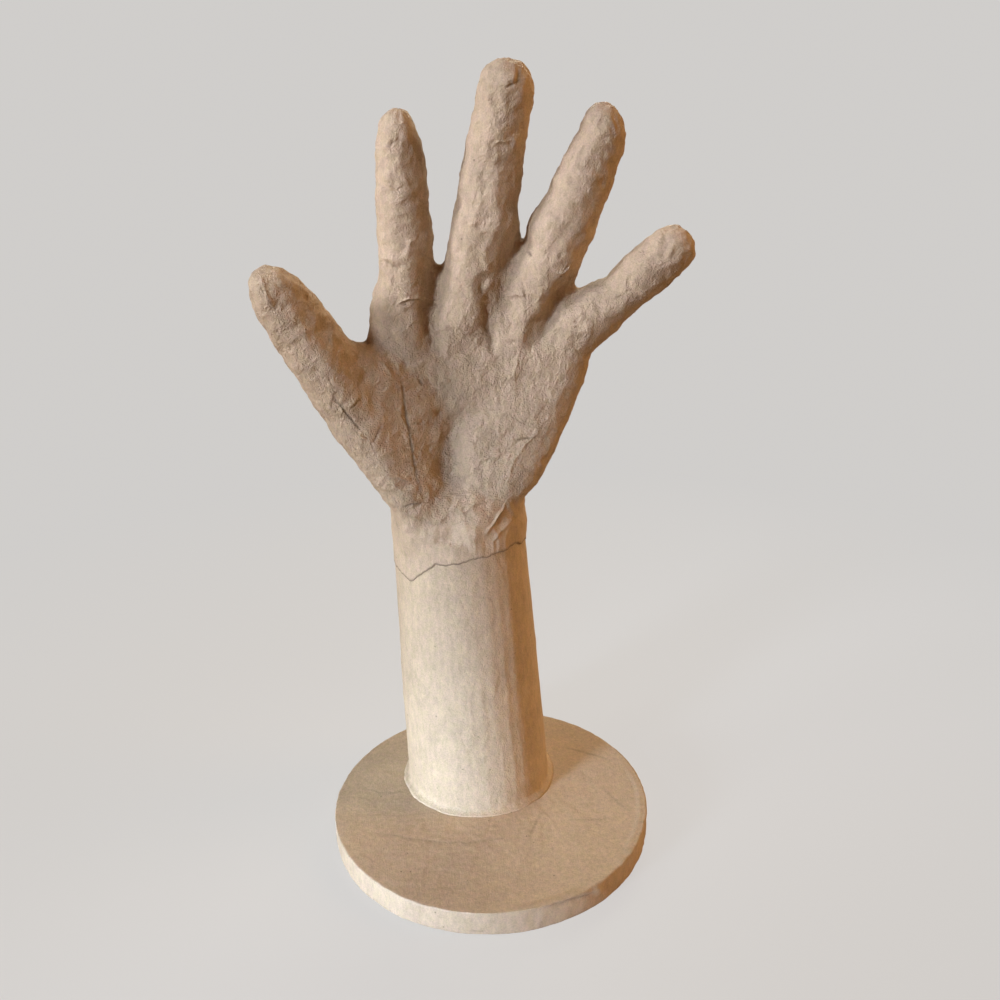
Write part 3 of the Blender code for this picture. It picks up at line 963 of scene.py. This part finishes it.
# How fibres lie, as rotations, how they are drawn out, which of their summed values show, and how
# the patches are drawn out
FIBRE_TURNS = ((0.4, 0.2, 0.9), (1.1, 2.0, 0.3), (2.3, 0.9, 1.7))
FIBRE_STRETCH = (1.0, 0.2, 1.0)
FIBRE_SPAN = (1.2, 1.8)
PATCH_STRETCH = (1.0, 1.0, 0.35)

# Dark specks: how densely they could lie, how rare they are, and from where to where they fade
SPECKS = 190.0
SPECKS_RARE = (0.58, 0.66)
SPECKS_FADE = (0.04, 0.10)

# How strongly each thing changes the colour's value, and what the darkening (darker torn edges and
# painted shade) and the specks leave of it
MOTTLE_VALUES = (0.92, 1.08)
PATCH_VALUE = 0.125
GRAIN_VALUE = 0.11
FIBRE_VALUE = 0.02
TONE_VALUE = 0.03
DARK_AND_SHADE_LEFT = 0.30
SPECK_LEFT = 0.45

# The paper's roughness and specular level, and how high its bump is
ROUGHNESS = (0.55, 0.75)
SPECULAR = 0.4
FINE_HEIGHT = 3.0
BROAD_HEIGHT = 5.0
FIBRE_HEIGHT = 0.04
BUMP_DISTANCE = 0.2 * MM


def add(tree, kind, links=None, **settings):
    """Adds a shader node, sets its properties, and fills its inputs with values or links."""
    made = tree.nodes.new(kind)
    for name, value in settings.items():
        setattr(made, name, value)
    for name, value in (links or {}).items():
        if isinstance(value, bpy.types.NodeSocket):
            tree.links.new(value, made.inputs[name])
        else:
            made.inputs[name].default_value = value
    return made


def spread(tree, value, low, high, start=0.0, end=1.0):
    """Maps a value from the span start to end onto low to high."""
    links = {"Value": value, "From Min": start, "From Max": end, "To Min": low, "To Max": high}
    return add(tree, "ShaderNodeMapRange", links).outputs["Result"]


def combine(tree, kind, first, *others):
    """Adds or multiplies values one after the other."""
    for other in others:
        first = add(tree, "ShaderNodeMath", {0: first, 1: other}, operation=kind).outputs[0]
    return first


def noise_texture(tree, where, size, detail, roughness, distortion):
    """Noise with lumps of about the given size in millimetres."""
    links = {"Vector": where, "Scale": 1.0 / (size * MM), "Detail": detail, "Roughness": roughness,
             "Distortion": distortion}
    return add(tree, "ShaderNodeTexNoise", links).outputs["Fac"]


def stretched(tree, where, scale, rotation=(0.0, 0.0, 0.0)):
    made = add(tree, "ShaderNodeMapping", {"Vector": where, "Rotation": rotation, "Scale": scale})
    return made.outputs["Vector"]


def attribute(tree, name):
    return add(tree, "ShaderNodeAttribute", attribute_name=name).outputs["Fac"]


def mix_colours(tree, share, first, second, blend="MIX"):
    """Mixes two colours, each a plain colour or a link."""
    links = {0: share, 6: first, 7: second}
    return add(tree, "ShaderNodeMix", links, data_type="RGBA", blend_type=blend).outputs[2]


def paper_fibres(tree, where):
    strands = [noise_texture(tree, stretched(tree, where, FIBRE_STRETCH, turn), *STRANDS)
               for turn in FIBRE_TURNS]
    return spread(tree, combine(tree, "ADD", *strands), -1.0, 1.0, *FIBRE_SPAN)


def paper_specks(tree, where):
    """1 in a few small specks and 0 outside them."""
    cells = add(tree, "ShaderNodeTexVoronoi", {"Vector": where, "Scale": SPECKS})
    rare = spread(tree, cells.outputs["Color"], 0.0, 1.0, *SPECKS_RARE)
    round_spot = spread(tree, cells.outputs["Distance"], 1.0, 0.0, *SPECKS_FADE)
    return combine(tree, "MULTIPLY", round_spot, rare)


def paper_colour(tree, where, colour, mottle, grain, fibres):
    """The paper's colour, from dark brown to the full one, with its hue varying a little."""
    patches = noise_texture(tree, stretched(tree, where, PATCH_STRETCH), *PATCHES)
    value = combine(tree, "ADD",
                    spread(tree, mottle, *MOTTLE_VALUES, *NOISE_SPAN),
                    spread(tree, patches, -PATCH_VALUE, PATCH_VALUE, *NOISE_SPAN),
                    spread(tree, grain, -GRAIN_VALUE, GRAIN_VALUE, *NOISE_SPAN),
                    combine(tree, "MULTIPLY", fibres, FIBRE_VALUE),
                    combine(tree, "MULTIPLY", attribute(tree, "tone"), TONE_VALUE))
    # Darkened by the vertex attribute: darker torn edges, and painted shade in cracks, slits, beside
    # folds and along the wrist paper's edge
    value = combine(tree, "MULTIPLY", value,
                    spread(tree, attribute(tree, "dark"), 1.0, DARK_AND_SHADE_LEFT),
                    spread(tree, paper_specks(tree, where), 1.0, SPECK_LEFT))
    brightest = (*(PAPER_RANGE * part for part in colour), 1.0)
    share = spread(tree, value, 0.0, 1.0, 0.0, PAPER_RANGE)
    paper = mix_colours(tree, share, (*PAPER_DARK, 1.0), brightest)
    hues = spread(tree, noise_texture(tree, where, *HUES), 0.0, 1.0, *HUE_SPAN)
    return mix_colours(tree, 1.0, paper, mix_colours(tree, hues, YELLOWER, PINKER), "MULTIPLY")


def paper_bump(tree, where, crinkle, rough, grain, fibres):
    """The paper's fine relief, which is weaker where the paper lies calm."""
    fine = noise_texture(tree, where, *FINE_CREASES)
    broad = noise_texture(tree, where, *BROAD_CREASES)
    height = combine(tree, "ADD",
                     combine(tree, "MULTIPLY", fine, FINE_HEIGHT * crinkle),
                     combine(tree, "MULTIPLY", broad, BROAD_HEIGHT * crinkle),
                     combine(tree, "MULTIPLY", grain, rough),
                     combine(tree, "MULTIPLY", fibres, FIBRE_HEIGHT))
    height = combine(tree, "MULTIPLY", height, spread(tree, attribute(tree, "calm"), 1.0, 0.0))
    made = add(tree, "ShaderNodeBump", {"Height": height, "Strength": 1.0, "Distance": BUMP_DISTANCE})
    return made.outputs["Normal"]


def kraft_paper(name):
    """Kraft paper: grain, fibres, mottling and specks, with darker torn edges, paler strips and painted
    shade in cracks, slits, beside folds and along the wrist paper's edge.
    """
    colour, crinkle, rough = PAPERS[name]
    made = bpy.data.materials.new(name)
    made.use_nodes = True
    tree = made.node_tree
    shader = tree.nodes["Principled BSDF"]
    where = add(tree, "ShaderNodeTexCoord").outputs["Object"]
    mottle = noise_texture(tree, where, *MOTTLE)
    grain = noise_texture(tree, where, *GRAIN)
    fibres = paper_fibres(tree, where)
    links = {"Base Color": paper_colour(tree, where, colour, mottle, grain, fibres),
             "Roughness": spread(tree, mottle, *ROUGHNESS, *NOISE_SPAN),
             "Normal": paper_bump(tree, where, crinkle, rough, grain, fibres)}
    for name, value in links.items():
        tree.links.new(value, shader.inputs[name])
    shader.inputs["Specular IOR Level"].default_value = SPECULAR
    return made


# The floor and the surround, and what the camera sees of them
FLOOR_RADIUS = 60.0
FLOOR_COLOUR = (0.60, 0.50, 0.40, 1.0)
FLOOR_SEEN = (0.14, 0.14, 0.14, 1.0)
FLOOR_GLOW = 0.58
FLOOR_FAR = 0.63
FLOOR_FADE = (0.12, 0.50)
SURROUND = (1.0, 0.975, 0.95, 1.0)
SURROUND_SEEN = 0.63
SURROUND_LIGHT = (0.06, 0.02, 0.01, 1.0)


def mix_shaders(tree, share, first, second):
    links = {0: share, 1: first.outputs[0], 2: second.outputs[0]}
    return add(tree, "ShaderNodeMixShader", links)


def camera_ray(tree):
    return add(tree, "ShaderNodeLightPath").outputs["Is Camera Ray"]


def floor_material():
    """A pale matt floor, which shines a little to the camera so that it stays even to its far edge."""
    made = bpy.data.materials.new("floor_pale")
    made.use_nodes = True
    tree = made.node_tree
    matt = add(tree, "ShaderNodeBsdfDiffuse", {"Color": FLOOR_COLOUR})
    dim = add(tree, "ShaderNodeBsdfDiffuse", {"Color": FLOOR_SEEN})
    glow = add(tree, "ShaderNodeEmission", {"Color": SURROUND, "Strength": FLOOR_GLOW})
    near = add(tree, "ShaderNodeAddShader", {0: dim.outputs[0], 1: glow.outputs[0]})
    far = add(tree, "ShaderNodeEmission", {"Color": SURROUND, "Strength": FLOOR_FAR})
    place = add(tree, "ShaderNodeTexCoord").outputs["Object"]
    away = add(tree, "ShaderNodeVectorMath", {0: place}, operation="LENGTH").outputs["Value"]
    seen = mix_shaders(tree, spread(tree, away, 0.0, 1.0, *FLOOR_FADE), near, far)
    mixed = mix_shaders(tree, camera_ray(tree), matt, seen)
    tree.links.new(mixed.outputs[0], tree.nodes["Material Output"].inputs["Surface"])
    return made


def build_floor():
    bm = bmesh.new()
    bmesh.ops.create_circle(bm, cap_ends=True, segments=96, radius=FLOOR_RADIUS)
    mesh = bpy.data.meshes.new("floor")
    bm.to_mesh(mesh)
    bm.free()
    floor = new_object("floor", mesh)
    floor.data.materials.append(floor_material())


def build_world():
    """A pale surround where the camera sees it, and hardly any light from it."""
    world = bpy.data.worlds.new("surround")
    bpy.context.scene.world = world
    world.use_nodes = True
    tree = world.node_tree
    seen = add(tree, "ShaderNodeBackground", {"Color": SURROUND, "Strength": SURROUND_SEEN})
    lit = add(tree, "ShaderNodeBackground", {"Color": SURROUND_LIGHT, "Strength": 1.0})
    mixed = mix_shaders(tree, camera_ray(tree), lit, seen)
    tree.links.new(mixed.outputs[0], tree.nodes["World Output"].inputs["Surface"])
    bpy.context.scene.view_settings.view_transform = "Standard"


# The spotlights: name, turn from the front to the right and rise from level in degrees, the place
# they aim at, their cone in degrees, and their watts in red, green and blue
SPOTS = [
    ("key_foot", -46, 10, (0.0, 0.0, 0.005), 19, (57, 70, 88)),
    ("key_fingers_left", -70, 22, (0.0, 0.0, 0.27), 16, (32, 32.5, 38.5)),
    ("key_fingers_front", -46, 24, (-0.01, 0.0, 0.27), 18, (26.5, 29.5, 34.5)),
]
SPOT_DISTANCE = 1.0
SPOT_SOFTNESS = 0.12

# The panels: name, turn from the front to the right in degrees, distance, level, size and watts
PANELS = [
    ("back_right", 165, 0.6, 0.6, 0.4, (2.2, 2.1, 1.7)),
    ("high_left", -80, 0.7, 0.5, 0.3, (1.15, 1.15, 0.95)),
]
PANEL_AIM = (0.0, 0.0, 0.15)

# The warm light from the right: turn, rise and width in degrees, and colour on a plain white floor
SUN_TURN = 90
SUN_RISE = 30
SUN_WIDTH = 30
SUN_COLOUR = (0.385, 0.23, 0.102)


def toward(turn, rise):
    """The way out from the object at a turn from the front, to the right, and a rise from level."""
    turn, rise = math.radians(turn), math.radians(rise)
    return Vector((math.sin(turn) * math.cos(rise), -math.cos(turn) * math.cos(rise), math.sin(rise)))


def place_light(name, light, place, aim, watts):
    light.energy = max(watts)
    light.color = [watt / max(watts) for watt in watts]
    made = new_object(name, light)
    made.location = place
    made.rotation_euler = (Vector(aim) - Vector(place)).to_track_quat("-Z", "Y").to_euler()
    made.visible_camera = False


def build_lights():
    """Cool light from low on the left that is strongest at the foot, and warm light from the right."""
    for name, turn, rise, aim, cone, watts in SPOTS:
        spot = bpy.data.lights.new(name, "SPOT")
        spot.spot_size = math.radians(cone)
        spot.spot_blend = 1.0
        spot.shadow_soft_size = SPOT_SOFTNESS
        place_light(name, spot, Vector(aim) + toward(turn, rise) * SPOT_DISTANCE, aim, watts)
    for name, turn, far, level, size, watts in PANELS:
        panel = bpy.data.lights.new(name, "AREA")
        panel.shape = "SQUARE"
        panel.size = size
        place = toward(turn, 0) * far
        place.z = level
        place_light(name, panel, place, PANEL_AIM, watts)
    sun = bpy.data.lights.new("warm_right", "SUN")
    sun.angle = math.radians(SUN_WIDTH)
    strength = [part * math.pi for part in SUN_COLOUR]
    place_light("warm_right", sun, toward(SUN_TURN, SUN_RISE), (0.0, 0.0, 0.0), strength)


# The camera, found from the base's ellipse and the upright lines in the photograph
CAMERA_PLACE = Vector((0.0, -393.12, 319.37)) * MM
CAMERA_PITCH = math.radians(21.49)
CAMERA_YAW = math.radians(1.04)
CAMERA_ROLL = math.radians(1.13)
CAMERA_SENSOR = 36.0
CAMERA_LENS = 36.0


def build_camera():
    ahead = Vector((math.sin(CAMERA_YAW) * math.cos(CAMERA_PITCH),
                    math.cos(CAMERA_YAW) * math.cos(CAMERA_PITCH), -math.sin(CAMERA_PITCH)))
    level = Vector((math.cos(CAMERA_YAW), -math.sin(CAMERA_YAW), 0.0))
    above = level.cross(ahead)
    right = level * math.cos(CAMERA_ROLL) - above * math.sin(CAMERA_ROLL)
    up = above * math.cos(CAMERA_ROLL) + level * math.sin(CAMERA_ROLL)
    data = bpy.data.cameras.new("camera")
    data.sensor_width = CAMERA_SENSOR
    data.lens = CAMERA_LENS
    data.clip_start = 10 * MM
    camera = new_object("camera", data)
    camera.matrix_world = (Matrix.Translation(CAMERA_PLACE)
                           @ Matrix((right, up, -ahead)).transposed().to_4x4())
    bpy.context.scene.camera = camera


def main():
    joint = joint_centre()
    build_camera()
    build_world()
    build_lights()
    build_floor()
    hand_paper = kraft_paper("hand_kraft")
    hand = build_hand(joint, hand_paper)
    forearm = build_forearm(joint, kraft_paper("forearm_kraft"))
    build_lap(joint, [hand, forearm], hand_paper)
    build_base(kraft_paper("base_kraft"))


main()
